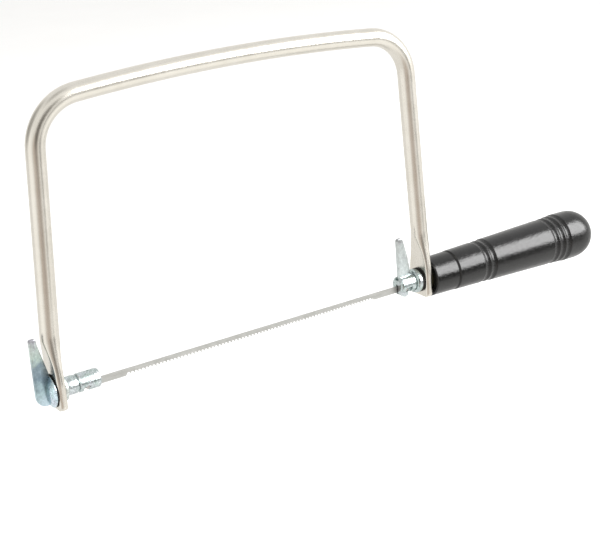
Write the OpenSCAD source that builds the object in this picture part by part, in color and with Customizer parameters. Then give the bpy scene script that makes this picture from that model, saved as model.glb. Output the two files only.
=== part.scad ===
// Coping saw: a round-rod bow with flattened ears, two turning blade holders with levers,
// a pinned blade and a turned wooden handle that screws the blade tight.
// The origin is the middle of the handle, on the blade axis. +X runs from the bow out through
// the handle's domed end, +Z points from the blade to the top of the bow.

/* [Bow] */
// Diameter of the bow's round rod
rod_d = 8; // [6:0.5:9]
// Height of the rod's centre line over the blade axis, at mid-span
bow_h = 121.7; // [100:0.1:150]
// Distance between the mid-planes of the two ears
ear_span = 188.85; // [186:0.05:192]
// Centre-line radius of the two bends
bend_r = 20.6; // [14:0.2:30]
// Radius of the top bar's slight crown
crown_r = 851; // [500:1:2000]
// Lean of each leg towards the middle, in degrees
splay = 3.4; // [1:0.05:6]
// Thickness of the flattened ears
ear_t = 3.6; // [3:0.1:4.5]
// Width of the flattened ears
ear_w = 14; // [12:0.5:16]

/* [Blade] */
// Distance between the two cross pins
pin_span = 165; // [160:1:168]
// Depth of the blade
blade_h = 3.2; // [2.5:0.1:4]
// Thickness of the blade
blade_t = 0.5; // [0.3:0.05:0.6]
// Distance from tooth to tooth
tooth_pitch = 1.7; // [1:0.1:2.5]
// Depth of the teeth
tooth_h = 0.9; // [0.4:0.05:1.2]
// Diameter of the cross pins
pin_d = 1.8; // [1.5:0.1:2]
// Length of the cross pins
pin_l = 6.4; // [5:0.2:7]

/* [Blade holders] */
// Diameter of the front slotted barrel
front_barrel_d = 8.2; // [8:0.1:9]
// Diameter of the rear slotted barrel
rear_barrel_d = 8.6; // [8:0.1:10]
// Length of the front slotted barrel
front_barrel_l = 9.8; // [8:0.2:10]
// Diameter of the domed cap outside the front ear
cap_d = 14; // [12:0.5:15]
// Height of the domed cap
cap_h = 2.6; // [2:0.1:2.8]
// Diameter of the domed collar inside the rear ear
collar_d = 11.6; // [10.6:0.1:13]
// Thickness of the black friction washer between the cap and the front ear
front_friction_t = 0.5; // [0.4:0.1:0.8]
// Thickness of the black friction washer between the collar and the rear ear
rear_friction_t = 1.2; // [0.8:0.1:1.6]
// Thickness of the two levers
lever_t = 2; // [1.5:0.1:2.4]
// Height of the front lever over the axis
front_lever_h = 24; // [20:0.5:26]
// Height of the rear lever over the axis
rear_lever_h = 23; // [18:0.5:25]
// Pitch of the tightening thread
thread_pitch = 1; // [0.8:0.1:1.25]

/* [Handle] */
// Length of the wooden handle
handle_l = 105; // [95:1:120]
// Largest diameter, at the band before the domed end
handle_d = 24.4; // [22:0.1:28]
// Depth of the turned coves
cove_depth = 0.65; // [0.2:0.05:0.9]

/* [Hidden] */
$fn = 96;
eps = 0.01;
face_gap = 0.05;      // between flat faces that bear on each other
run_gap = 0.06;       // radial clearance of a shaft turning in its hole
seat_gap = 0.02;      // radial clearance of pieces fixed to each other

// Positions along X
handle_x = -handle_l / 2;
flange_t = 1.05;
rear_ear_x = handle_x - flange_t - 2 * face_gap - ear_t / 2;
front_ear_x = rear_ear_x - ear_span;
mid_x = (front_ear_x + rear_ear_x) / 2;
front_out = front_ear_x - ear_t / 2;   // outer face of the front ear
front_in = front_ear_x + ear_t / 2;
rear_in = rear_ear_x - ear_t / 2;
front_pin_x = front_in + 10.8;
rear_pin_x = front_pin_x + pin_span;

// Blade
blade_z = -1.7;                        // centre line of the blade under the axis
blade_end = 2;                         // blade beyond each pin
plain_front = 19.5;                    // length without teeth, from each pin
plain_rear = 17.5;
tooth_lift = 0.4;                      // the points of the teeth stop this far over the lower edge

// Holders
stem_r = 3;                            // journal in the ears, and the thread's crest
front_barrel_r = front_barrel_d / 2;
rear_barrel_r = rear_barrel_d / 2;
slot_depth = 9;                        // slots and notches are open well past the barrels
slot_w = blade_t + 0.3;
washer_t = 1.5;
washer_d = 11.2;
neck_r = 4;
front_neck_l = 4.6;
waist_r = 3.4;                         // turned waist between the neck and the front barrel
waist_l = 1.3;
barrel_x = front_in + 7.2;             // start of the front slotted barrel
tail_r = 2.2;
tail_l = 2.4;
slack = 2;                             // travel of the rear holder when the handle is unscrewed
cap_back = front_out - front_friction_t - 2 * face_gap;    // back face of the cap
collar_l = 2.6;
rear_holder_l = 11.4;                  // from the rear holder's blade end to the collar's back
rear_face_x = rear_in - rear_friction_t - 2 * face_gap;
rear_end_x = rear_face_x - rear_holder_l;
lever_seat = 2.6;                      // height of the rear lever's foot over the axis
end_round = 1.5;
thread_start = handle_x + 1;
thread_l = 20;
thread_depth = 0.5;

// Handle
insert_r = 5;
insert_l = 25;
insert_flange_d = 12;
band_l = 6.2;
dome_l = 14.1;
dome_x = -handle_x - dome_l;
band_x = dome_x - band_l;
handle_r = handle_d / 2;

joint_cut = 0.1;                       // the rod's stretches stop this far short of each other
joint_l = 0.8;                         // band over each joint of two stretches
joint_rise = 0.06;

// Bow centre line: the leg starts at height ear_top over the ear, leans inwards and is
// joined to the crowned top bar by an arc that is tangent to both.
ear_top = 20;
ear_end = 7.6;                         // the ears end this far under the axis
ear_round = 1.8;                       // rounding of their lower corners
leg_dir = [sin(splay), cos(splay)];
leg_in = [cos(splay), -sin(splay)];
leg_foot = [front_ear_x, ear_top];
crown_c = [mid_x, bow_h - crown_r];
to_crown = leg_foot + bend_r * leg_in - crown_c;
leg_run = -to_crown * leg_dir
    + sqrt(pow(to_crown * leg_dir, 2) - to_crown * to_crown + pow(crown_r - bend_r, 2));
bend_c = leg_foot + bend_r * leg_in + leg_run * leg_dir;
crown_half = atan2(mid_x - bend_c[0], bend_c[1] - crown_c[1]);

// Turns a shape built along Z so that it lies along +X
module along_x(x = 0) translate([x, 0, 0]) rotate([0, 90, 0]) children();

// Outline in X and Z, given a thickness in Y about the middle plane
module fin(t) rotate([90, 0, 0]) translate([0, 0, -t / 2]) linear_extrude(t) children();

// Rod swept about a centre in the XZ plane, from one angle to another, both ends cut back a little
module rod_arc(c, r, a0, a1) {
    back = joint_cut / r * 180 / PI;
    translate([c[0], 0, c[1]]) rotate([90, 0, 0]) rotate([0, 0, a0 + back])
        rotate_extrude(angle = a1 - a0 - 2 * back) translate([r, 0]) circle(d = rod_d);
}

// Short band that joins two stretches of the rod, leaning from +Z towards +X
module rod_joint(p, lean) translate([p[0], 0, p[1]]) rotate([0, lean, 0])
    cylinder(d = rod_d + joint_rise, h = joint_l, center = true);

// Left half of the bow: an ear, its shoulder, the leg and the bend
module half_bow() {
    ear_low = 8;
    // flat of the ear: +X of this outline points down
    along_x(front_ear_x - ear_t / 2) linear_extrude(ear_t) polygon(concat(
        [[-ear_low, -ear_w / 2]],
        [for (s = [-1, 1], i = [0 : 15 : 90]) let (a = s < 0 ? 90 - i : i)
            [ear_end - ear_round + ear_round * cos(a),
                s * (ear_w / 2 - ear_round + ear_round * sin(a))]],
        [[-ear_low, ear_w / 2]]));
    hull() {
        translate([leg_foot[0], 0, leg_foot[1]]) rotate([0, splay, 0])
            cylinder(d = rod_d - 0.3, h = 1, $fn = 32);
        translate([front_ear_x, 0, ear_low + 4]) cube([ear_t - 0.1, ear_w - 2.4, 1], center = true);
        translate([front_ear_x, 0, ear_low - 1]) cube([ear_t - 0.1, ear_w - 0.2, 1], center = true);
    }
    translate([leg_foot[0], 0, leg_foot[1]]) rotate([0, splay, 0])
        cylinder(d = rod_d, h = leg_run - joint_cut);
    rod_joint(leg_foot + leg_run * leg_dir, splay);
    rod_arc(bend_c, bend_r, 90 + crown_half, 180 - splay);
    rod_joint(crown_c + crown_r * [-sin(crown_half), cos(crown_half)], 90 - crown_half);
}

module bow_frame() color("tan") difference() {
    union() {
        half_bow();
        translate([mid_x, 0, 0]) mirror([1, 0, 0]) translate([-mid_x, 0, 0]) half_bow();
        rod_arc(crown_c, crown_r, 90 - crown_half, 90 + crown_half);
    }
    for (x = [front_ear_x, rear_ear_x])
        along_x(x - ear_t) cylinder(r = stem_r + run_gap, h = 2 * ear_t);
}

// Slot for the blade, open downwards and at one end
module blade_slot(x0, x1) translate([x0, -slot_w / 2, -slot_depth])
    cube([x1 - x0, slot_w, slot_depth + 0.5]);

module front_spigot() color("lightsteelblue") difference() {
    union() {
        along_x(front_out - tail_l) cylinder(r = tail_r, h = tail_l + eps);
        along_x(front_out) cylinder(r = stem_r, h = ear_t + washer_t + 2 * face_gap + eps);
        along_x(front_in + washer_t + 2 * face_gap) cylinder(r = neck_r, h = front_neck_l);
        along_x(front_in + washer_t + front_neck_l) cylinder(r = waist_r, h = waist_l);
        along_x(barrel_x) rotate_extrude() polygon([[0, 0], [front_barrel_r - 0.4, 0],
            [front_barrel_r, 0.4], [front_barrel_r, front_barrel_l - 0.5],
            [front_barrel_r - 0.5, front_barrel_l], [0, front_barrel_l]]);
    }
    blade_slot(barrel_x + 1.4, barrel_x + front_barrel_l + 1);
    // notch across both cheeks, open downwards: the pin pulls against its +X wall
    notch_x = front_pin_x + pin_d / 2 + 0.1;
    notch_w = 2.9;
    crown = 1;                         // radius of the notch's rounded corner over the pin
    translate([notch_x - notch_w, -slot_depth, -slot_depth])
        cube([notch_w, 2 * slot_depth, slot_depth + blade_z]);
    rotate([90, 0, 0]) translate([notch_x - crown, blade_z, -slot_depth])
        cylinder(r = crown, h = 2 * slot_depth);
    translate([notch_x - notch_w, -slot_depth, blade_z - eps])
        cube([notch_w - crown, 2 * slot_depth, 0.6]);
}

module front_cap() color("lightsteelblue") {
    rim = 0.4;
    bed = 0.7;                         // thickness left under the lever's slot
    dome_h = cap_h - rim;
    dome_r = (pow(cap_d / 2, 2) + pow(dome_h, 2)) / (2 * dome_h);
    difference() {
        union() {
            along_x(cap_back - rim) cylinder(d = cap_d, h = rim);
            intersection() {
                translate([cap_back - cap_h + dome_r, 0, 0]) sphere(r = dome_r);
                along_x(cap_back - cap_h) cylinder(d = cap_d, h = dome_h);
            }
        }
        along_x(front_out - tail_l - seat_gap) cylinder(r = tail_r + seat_gap, h = 3);
        translate([cap_back - 5 - bed, -lever_t / 2 - seat_gap, -cap_d])
            cube([5, lever_t + 2 * seat_gap, 2 * cap_d]);
    }
}

// Ring between two X positions
module ring(x0, x1, outer_r, inner_r) along_x(x0) difference() {
    cylinder(r = outer_r, h = x1 - x0);
    translate([0, 0, -1]) cylinder(r = inner_r, h = x1 - x0 + 2);
}

module front_friction_washer() color("black")
    ring(cap_back + face_gap, front_out - face_gap, cap_d / 2, tail_r + seat_gap);

module front_lever() color("lightsteelblue") {
    left = front_out - 7.2;
    bed = cap_back - 0.7 - seat_gap;
    heel = cap_back - 0.1;
    tail = tail_r + 3 * seat_gap;
    tail_x = front_out - tail_l - 0.1;
    tip_r = 0.8;
    tip_z = front_lever_h - tip_r;
    lobe_r = 4.2;
    foot = 5.6;
    fin(lever_t) polygon(concat(
        [[bed, cap_d / 2 + 0.2], [heel, cap_d / 2 + 0.4], [front_out - 4.2, tip_z - 1.2]],
        [for (a = [0 : 15 : 90]) [front_out - 5 + tip_r * cos(a), tip_z + tip_r * sin(a)]],
        [for (a = [90 : 15 : 180]) [left + tip_r + tip_r * cos(a), tip_z + tip_r * sin(a)]],
        [for (a = [180 : 15 : 270]) [left + lobe_r + lobe_r * cos(a), lobe_r - foot + lobe_r * sin(a)]],
        [[bed, -foot], [bed, -tail], [tail_x, -tail], [tail_x, tail], [bed, tail]]));
}

module front_washer() color("silver")
    ring(front_in + face_gap, front_in + face_gap + washer_t, washer_d / 2, stem_r + run_gap);

module blade() color("gainsboro") difference() {
    x0 = front_pin_x - blade_end;
    x1 = rear_pin_x + blade_end;
    top = blade_z + blade_h / 2;
    low = blade_z - blade_h / 2;
    tip = low + tooth_lift;
    root = tip + tooth_h;
    flat = 0.45 * tooth_pitch;         // bottom of each gullet
    n = floor((pin_span - plain_front - plain_rear) / tooth_pitch);
    t0 = front_pin_x + plain_front;
    fin(blade_t) polygon(concat([[x0, top], [x0, low], [t0 - tooth_h, low]],
        [for (i = [0 : n - 1]) let (t = t0 + i * tooth_pitch) each [[t, root], [t + flat, root],
            [t + tooth_pitch - 0.2, tip], [t + tooth_pitch, tip]]],
        [[t0 + n * tooth_pitch, root], [t0 + n * tooth_pitch + tooth_h, low], [x1, low], [x1, top]]));
    for (x = [front_pin_x, rear_pin_x])
        translate([x, blade_t, blade_z]) rotate([90, 0, 0])
            cylinder(r = pin_d / 2 + seat_gap, h = 2 * blade_t);
}

module cross_pin(x) color("gainsboro") translate([x, pin_l / 2, blade_z]) rotate([90, 0, 0])
    cylinder(d = pin_d, h = pin_l);

module blade_pin_front() cross_pin(front_pin_x);

module blade_pin_rear() cross_pin(rear_pin_x);

module rear_spigot() color("lightsteelblue") {
    pocket = pin_d + 0.2;
    pocket_x = rear_pin_x - pocket / 2;
    lip_r = 2.6;
    barrel_l = rear_face_x - rear_end_x;
    difference() {
        union() {
            along_x(rear_end_x) rotate_extrude() polygon(concat([[0, 0]],
                [for (a = [0 : 10 : 90]) [rear_barrel_r - end_round + end_round * sin(a),
                    end_round - end_round * cos(a)]],
                [[rear_barrel_r, barrel_l], [0, barrel_l]]));
            // drop-shaped lip under the pin's pocket
            translate([pocket_x + 0.4, rear_barrel_r - 1.4, blade_z - 1]) rotate([90, 0, 0])
                cylinder(r = lip_r, h = 2 * rear_barrel_r - 2.8);
            along_x(rear_face_x - eps)
                cylinder(r = stem_r, h = thread_start - rear_face_x + 2 * eps);
            along_x(thread_start) rotate_extrude() polygon(concat([[0, 0]],
                [for (i = [0 : thread_l / thread_pitch - 1]) each [
                    [stem_r, i * thread_pitch], [stem_r, (i + 0.25) * thread_pitch],
                    [stem_r - thread_depth, (i + 0.55) * thread_pitch],
                    [stem_r - thread_depth, (i + 0.7) * thread_pitch]]],
                [[stem_r - thread_depth, thread_l], [0, thread_l]]));
        }
        blade_slot(rear_end_x - 1, rear_pin_x + blade_end + slack + 0.4);
        // pocket across both cheeks: the pin pulls against its -X end, over the lip
        translate([pocket_x + 1, -slot_depth, blade_z - pocket / 2])
            cube([pocket / 2 + slack, 2 * slot_depth, pocket]);
        translate([pocket_x + pocket / 2, slot_depth, blade_z]) rotate([90, 0, 0])
            cylinder(d = pocket, h = 2 * slot_depth);
        translate([pocket_x + slack, -slot_depth, -slot_depth])
            cube([pocket, 2 * slot_depth, slot_depth + blade_z]);
        // seat of the lever
        translate([rear_end_x - 1, -lever_t / 2 - seat_gap, lever_seat])
            cube([rear_face_x - collar_l - rear_end_x + 1, lever_t + 2 * seat_gap, slot_depth]);
    }
}

module rear_lever() color("lightsteelblue") {
    left = rear_end_x + 0.9;
    right = rear_face_x - collar_l - seat_gap;
    foot = lever_seat + seat_gap;
    tip_left = left - 0.4;             // the lever leans towards the blade
    tip_right = tip_left + 3.3;
    tip_r = 1;
    tip_z = rear_lever_h - tip_r;
    fin(lever_t) polygon(concat(
        [[left, foot], [right, foot], [right, rear_barrel_r + 0.1], [right - 1.4, 6.4],
            [right - 2.7, rear_lever_h - 8.8]],
        [for (a = [0 : 15 : 90]) [tip_right - tip_r + tip_r * cos(a), tip_z + tip_r * sin(a)]],
        [for (a = [90 : 15 : 180]) [tip_left + tip_r + tip_r * cos(a), tip_z + tip_r * sin(a)]]));
}

module rear_collar() color("lightsteelblue") {
    bore_r = rear_barrel_r + seat_gap;
    dome_from = rear_barrel_r + 0.4;   // the dome starts at this radius
    dome_h = collar_l - 0.7;
    along_x(rear_face_x - collar_l) rotate_extrude() polygon(concat(
        [[bore_r, collar_l], [bore_r, 0]],
        [for (a = [90 : -10 : 0])
            [dome_from + (collar_d / 2 - dome_from) * cos(a), dome_h - dome_h * sin(a)]],
        [[collar_d / 2, collar_l]]));
}

module rear_friction_washer() color("black")
    ring(rear_face_x + face_gap, rear_in - face_gap, collar_d / 2, stem_r + run_gap);

// Handle radius before the coves are cut, at a distance from the handle's middle
function handle_taper(x) = lookup(x, [[handle_x, 9.35], [handle_x + 13, 9.62],
    [handle_x + 15, 9.8], [handle_x + 29, 10.2], [handle_x + 36.5, 10.5],
    [handle_x + 73.2, 11.55], [band_x, handle_r]]);

// One parabolic cove from a to b
function cove(x, a, b, d) = (x <= a || x >= b) ? 0 : d * 4 * (x - a) * (b - x) / pow(b - a, 2);

module handle() color("black") {
    bead = 3.7;
    v_x = handle_x + 13;
    pair_x = handle_x + 29.1;
    triple_x = handle_x + 73.3;
    cuts = concat([[v_x, v_x + 1.4, 0.6]],
        [for (i = [0, 1]) [pair_x + i * bead, pair_x + (i + 1) * bead, cove_depth]],
        [for (i = [0 : 2]) [triple_x + i * bead, triple_x + (i + 1) * bead, cove_depth]]);
    steps = 6;
    groove_points = [for (c = cuts) for (s = [0 : steps]) let (x = c[0] + (c[1] - c[0]) * s / steps)
        [handle_taper(x) - cove(x, c[0], c[1], c[2]), x]];
    difference() {
        along_x() rotate_extrude() polygon(concat(
            [[0, handle_x], [8.9, handle_x], [9.35, handle_x + 0.45]],
            groove_points,
            [[handle_r, band_x], [handle_r, dome_x]],
            [for (a = [6 : 6 : 84]) [handle_r * pow(1 - pow(sin(a), 2.45), 1 / 1.8),
                dome_x + dome_l * sin(a)]],
            [[0, -handle_x]]));
        along_x(handle_x - 1) cylinder(r = insert_r + seat_gap, h = insert_l + 1);
        along_x(handle_x) cylinder(r = stem_r + 0.4, h = insert_l + 6);
    }
}

module handle_insert() color("goldenrod") difference() {
    union() {
        along_x(handle_x - flange_t - face_gap) cylinder(d = insert_flange_d, h = flange_t);
        along_x(handle_x - face_gap - eps) cylinder(r = insert_r, h = insert_l - 0.5);
    }
    along_x(handle_x - 5) cylinder(r = stem_r + run_gap, h = insert_l + 10);
}

bow_frame();
front_spigot();
front_cap();
front_friction_washer();
front_lever();
front_washer();
blade();
blade_pin_front();
blade_pin_rear();
rear_spigot();
rear_lever();
rear_collar();
rear_friction_washer();
handle();
handle_insert();
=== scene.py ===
"""Coping saw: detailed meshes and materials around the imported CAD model, in its frame.

Shapes are written in millimetres and scaled to metres when a mesh is made. Places come from
the boxes of the CAD nodes. X runs along the blade to the handle's dome, Z up to the bow's top.
"""
import bpy
import bmesh
import math
from mathutils import Matrix, Vector


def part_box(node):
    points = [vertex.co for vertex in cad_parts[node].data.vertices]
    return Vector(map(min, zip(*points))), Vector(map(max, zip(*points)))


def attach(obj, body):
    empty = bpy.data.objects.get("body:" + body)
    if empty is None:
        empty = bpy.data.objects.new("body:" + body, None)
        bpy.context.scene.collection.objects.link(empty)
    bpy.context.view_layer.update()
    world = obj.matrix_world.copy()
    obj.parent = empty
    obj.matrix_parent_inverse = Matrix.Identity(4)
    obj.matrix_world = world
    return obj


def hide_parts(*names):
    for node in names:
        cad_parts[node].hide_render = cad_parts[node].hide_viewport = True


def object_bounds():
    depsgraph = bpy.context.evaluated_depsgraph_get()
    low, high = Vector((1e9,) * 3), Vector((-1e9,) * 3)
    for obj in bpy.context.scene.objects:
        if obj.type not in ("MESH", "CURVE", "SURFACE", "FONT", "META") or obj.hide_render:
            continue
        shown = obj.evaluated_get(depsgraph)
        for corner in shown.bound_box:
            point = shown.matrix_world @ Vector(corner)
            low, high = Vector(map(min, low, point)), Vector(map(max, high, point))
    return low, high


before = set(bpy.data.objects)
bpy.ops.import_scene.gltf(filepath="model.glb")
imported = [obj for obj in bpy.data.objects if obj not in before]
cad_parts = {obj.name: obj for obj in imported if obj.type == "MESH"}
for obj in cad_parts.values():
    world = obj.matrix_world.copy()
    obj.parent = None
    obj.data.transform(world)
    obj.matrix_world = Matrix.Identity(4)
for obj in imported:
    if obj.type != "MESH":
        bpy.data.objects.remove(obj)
cad_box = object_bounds()
scene = bpy.context.scene

MM = 0.001


# ---------------------------------------------------------------- camera

# Camera at the photograph's angle: lens and shift in pixels of a 600-wide frame, degrees, mm
CAMERA = dict(focal=1336.543, azimuth=-32.389, elevation=19.997, roll=-3.759, distance=597.976,
              aim_x=-123.437, aim_z=17.812, shift=0.5)
FRAME_WIDTH = 600
SENSOR = 36


def make_camera():
    """Camera looking at the aim point from the distance, turned by azimuth, elevation and roll."""
    az, el, roll = (math.radians(CAMERA[k]) for k in ("azimuth", "elevation", "roll"))
    back = Vector((math.sin(az) * math.cos(el), -math.cos(az) * math.cos(el), math.sin(el)))
    level = (-back).cross(Vector((0, 0, 1))).normalized()
    upright = level.cross(-back)
    right = level * math.cos(roll) + upright * math.sin(roll)
    up = upright * math.cos(roll) - level * math.sin(roll)
    data = bpy.data.cameras.new("camera")
    data.sensor_width = SENSOR
    data.lens = CAMERA["focal"] * SENSOR / FRAME_WIDTH
    data.clip_start = 0.01
    data.shift_x = -CAMERA["shift"] / FRAME_WIDTH
    data.shift_y = CAMERA["shift"] / FRAME_WIDTH
    camera = bpy.data.objects.new("camera", data)
    place = Matrix((right, up, back)).transposed().to_4x4()
    aim = Vector((CAMERA["aim_x"], 0, CAMERA["aim_z"]))
    place.translation = (aim + back * CAMERA["distance"]) * MM
    camera.matrix_world = place
    scene.collection.objects.link(camera)
    scene.camera = camera


# ---------------------------------------------------------------- helpers

def extent(node):
    """Lowest and highest corner of a CAD node, in mm."""
    low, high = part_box(node)
    return low / MM, high / MM


def smoothstep(t):
    """0 to 1 with a level start and end."""
    t = min(max(t, 0), 1)
    return t * t * (3 - 2 * t)


def ease(t):
    """0 to 1, with points gathered at both ends."""
    return 0.5 - 0.5 * math.cos(math.pi * t)


def add_mesh(name, points, faces, sharp=35):
    """A mesh object from points in mm, with edges over `sharp` degrees left crisp."""
    mesh = bpy.data.meshes.new(name)
    mesh.from_pydata([tuple(c * MM for c in p) for p in points], [], faces)
    obj = bpy.data.objects.new(name, mesh)
    scene.collection.objects.link(obj)
    finish_mesh(obj, sharp)
    return obj


def finish_mesh(obj, sharp=35):
    """Merges doubles, turns the faces outwards and sets the shading."""
    work = bmesh.new()
    work.from_mesh(obj.data)
    bmesh.ops.remove_doubles(work, verts=work.verts, dist=1e-7)
    bmesh.ops.recalc_face_normals(work, faces=work.faces)
    work.to_mesh(obj.data)
    work.free()
    obj.data.shade_smooth()
    obj.data.set_sharp_from_angle(angle=math.radians(sharp))


def bake_modifiers(obj, sharp=35):
    """Puts the modifiers' result in place of the mesh."""
    graph = bpy.context.evaluated_depsgraph_get()
    mesh = bpy.data.meshes.new_from_object(obj.evaluated_get(graph))
    obj.modifiers.clear()
    obj.data = mesh
    finish_mesh(obj, sharp)


def combine(obj, others, operation="DIFFERENCE", sharp=35):
    """Cuts the others out of obj, or adds them, and removes them."""
    for other in others:
        step = obj.modifiers.new("step", "BOOLEAN")
        step.operation = operation
        step.solver = "EXACT"
        step.object = other
    bake_modifiers(obj, sharp)
    for other in others:
        bpy.data.objects.remove(other)
    return obj


def bevel(obj, width, segments=3, angle=35, sharp=35):
    """Rounds the crisp edges by width mm."""
    step = obj.modifiers.new("bevel", "BEVEL")
    step.width = width * MM
    step.segments = segments
    step.limit_method = "ANGLE"
    step.angle_limit = math.radians(angle)
    step.harden_normals = False
    step.use_clamp_overlap = True
    bake_modifiers(obj, sharp)
    return obj


def lathe(name, profile, steps=96, ring=False, sharp=35):
    """Turns (x, radius) points about the X axis. ring closes the profile on itself."""
    points = []
    rows = []
    for x, r in profile:
        if r < 1e-6:
            rows.append([len(points)] * steps)
            points.append((x, 0, 0))
            continue
        rows.append([len(points) + i for i in range(steps)])
        turns = [2 * math.pi * i / steps for i in range(steps)]
        points += [(x, r * math.sin(a), r * math.cos(a)) for a in turns]
    if ring:
        rows.append(rows[0])
    faces = []
    for a, b in zip(rows, rows[1:]):
        for i in range(steps):
            j = (i + 1) % steps
            corners = [a[i], a[j], b[j], b[i]]
            faces.append([c for k, c in enumerate(corners) if c not in corners[:k]])
    return add_mesh(name, points, [f for f in faces if len(f) > 2], sharp)


def block(low, high):
    """A box cutter between two corners."""
    ends = list(zip(low, high))
    points = [(x, y, z) for x in ends[0] for y in ends[1] for z in ends[2]]
    faces = [(0, 1, 3, 2), (4, 6, 7, 5), (0, 4, 5, 1), (2, 3, 7, 6), (0, 2, 6, 4), (1, 5, 7, 3)]
    return add_mesh("block", points, faces)


def rod(centre, radius, length, axis, steps=48):
    """A cylinder cutter or lug centred on a point, along X, Y or Z."""
    end = length / 2
    obj = lathe("rod", [(-end, 0), (-end, radius), (end, radius), (end, 0)], steps)
    quarter = math.pi / 2
    turn = {"X": Matrix(), "Y": Matrix.Rotation(quarter, 4, "Z"), "Z": Matrix.Rotation(quarter, 4, "Y")}
    obj.data.transform(Matrix.Translation(Vector(centre) * MM) @ turn[axis])
    return obj


def plate(name, outline, thickness, sharp=35):
    """An outline of (x, z) points, thickness mm in Y about the middle plane."""
    count = len(outline)
    points = [(x, s * thickness / 2, z) for s in (-1, 1) for x, z in outline]
    faces = [list(range(count)), list(range(2 * count - 1, count - 1, -1))]
    for i in range(count):
        j = (i + 1) % count
        faces.append([i, j, count + j, count + i])
    return add_mesh(name, points, faces, sharp)


def arc(cx, cz, r, start, end, steps=8):
    """(x, z) points on an arc, angles in degrees from +X towards +Z."""
    turns = [math.radians(start + (end - start) * i / steps) for i in range(steps + 1)]
    return [(cx + r * math.cos(a), cz + r * math.sin(a)) for a in turns]


def mount_piece(obj, body, slot, material, *nodes):
    """Gives a finished piece its material and body, and hides the CAD nodes that it stands for. slot is not
    used.
    """
    obj.data.materials.clear()
    obj.data.materials.append(material)
    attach(obj, body)
    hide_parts(*nodes)


# ---------------------------------------------------------------- materials

SLOT_HALF = 0.4       # half the width of the barrels' blade slots, and their upper end over the axis
SLOT_TOP = 0.5
LEVER_SLOT_HALF = 1.02


class Nodes:
    """Short calls for building one material's node tree."""

    def __init__(self, name):
        self.material = bpy.data.materials.new(name)
        self.material.use_nodes = True
        self.tree = self.material.node_tree
        self.shader = self.tree.nodes["Principled BSDF"]
        self.place = self.tree.nodes.new("ShaderNodeTexCoord").outputs["Object"]

    def link(self, source, target):
        self.tree.links.new(source, target)

    def set(self, **values):
        for key, value in values.items():
            self.shader.inputs[key.replace("_", " ")].default_value = value

    def stretch(self, scale, source=None):
        """Coordinates in metres times a scale per axis."""
        node = self.tree.nodes.new("ShaderNodeMapping")
        self.link(source or self.place, node.inputs["Vector"])
        node.inputs["Scale"].default_value = scale
        return node.outputs["Vector"]

    def noise(self, scale, detail=4, rough=0.55, source=None, distortion=0.0):
        node = self.tree.nodes.new("ShaderNodeTexNoise")
        node.inputs["Scale"].default_value = 1
        node.inputs["Detail"].default_value = detail
        node.inputs["Roughness"].default_value = rough
        node.inputs["Distortion"].default_value = distortion
        self.link(self.stretch(scale, source), node.inputs["Vector"])
        return node.outputs["Fac"]

    def ramp(self, source, stops):
        """Colours or greys at places from 0 to 1."""
        node = self.tree.nodes.new("ShaderNodeValToRGB")
        elements = node.color_ramp.elements
        while len(elements) < len(stops):
            elements.new(0.5)
        for element, (place, colour) in zip(elements, stops):
            element.position = place
            element.color = (*colour, 1) if isinstance(colour, tuple) else (*[colour] * 3, 1)
        self.link(source, node.inputs["Fac"])
        return node.outputs["Color"]

    def mix(self, factor, a, b, kind="MIX"):
        """Mixes two colour outputs, or an output and a colour."""
        node = self.tree.nodes.new("ShaderNodeMix")
        node.data_type = "RGBA"
        node.blend_type = kind
        for socket, value in ((node.inputs[0], factor), (node.inputs[6], a), (node.inputs[7], b)):
            if isinstance(value, (int, float)):
                socket.default_value = value
            elif isinstance(value, tuple):
                socket.default_value = (*value, 1)
            else:
                self.link(value, socket)
        return node.outputs[2]

    def axis(self, name):
        """The place along one axis, in metres."""
        node = self.tree.nodes.new("ShaderNodeSeparateXYZ")
        self.link(self.place, node.inputs[0])
        return node.outputs[name]

    def part_way(self, name, start, run):
        """0 at a start and 1 after a run along an axis, both in mm."""
        return self.maths("DIVIDE", self.maths("SUBTRACT", self.axis(name), start * MM), run * MM)

    def climb(self, low, high, wander, amount):
        """0 to 1 up along Z between two heights in mm, moved by a noise."""
        part = self.part_way("Z", low, high - low)
        sway = self.maths("MULTIPLY", self.maths("SUBTRACT", wander, 0.5), amount)
        return self.maths("ADD", part, sway)

    def beyond(self, x, run):
        """0 to 1 along X, from a place in mm over a run in mm, and held beyond both ends."""
        return self.maths("MINIMUM", self.maths("MAXIMUM", self.part_way("X", x, run), 0.0), 1.0)

    def band(self, x, length, count):
        """Humps from 0 to 1 along X, from a place in mm, each of a length in mm."""
        part = self.part_way("X", x, length)
        inside = self.maths("GREATER_THAN", part, 0.0)
        inside = self.maths("MULTIPLY", inside, self.maths("LESS_THAN", part, count))
        wave = self.maths("SINE", self.maths("MULTIPLY", self.maths("FRACT", part), math.pi))
        return self.maths("MULTIPLY", inside, wave)

    def maths(self, operation, a, b=0.0):
        node = self.tree.nodes.new("ShaderNodeMath")
        node.operation = operation
        for socket, value in zip(node.inputs, (a, b)):
            if isinstance(value, (int, float)):
                socket.default_value = value
            else:
                self.link(value, socket)
        return node.outputs[0]

    def bump(self, height, distance, strength=1.0, below=None):
        """Bump from a height output, distance in metres, on top of another bump."""
        node = self.tree.nodes.new("ShaderNodeBump")
        node.inputs["Strength"].default_value = strength
        node.inputs["Distance"].default_value = distance
        self.link(height, node.inputs["Height"])
        if below:
            self.link(below, node.inputs["Normal"])
        return node.outputs["Normal"]

    def colour(self, source):
        self.link(source, self.shader.inputs["Base Color"])

    def roughness(self, source):
        self.link(source, self.shader.inputs["Roughness"])

    def normal(self, source):
        self.link(source, self.shader.inputs["Normal"])


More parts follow.
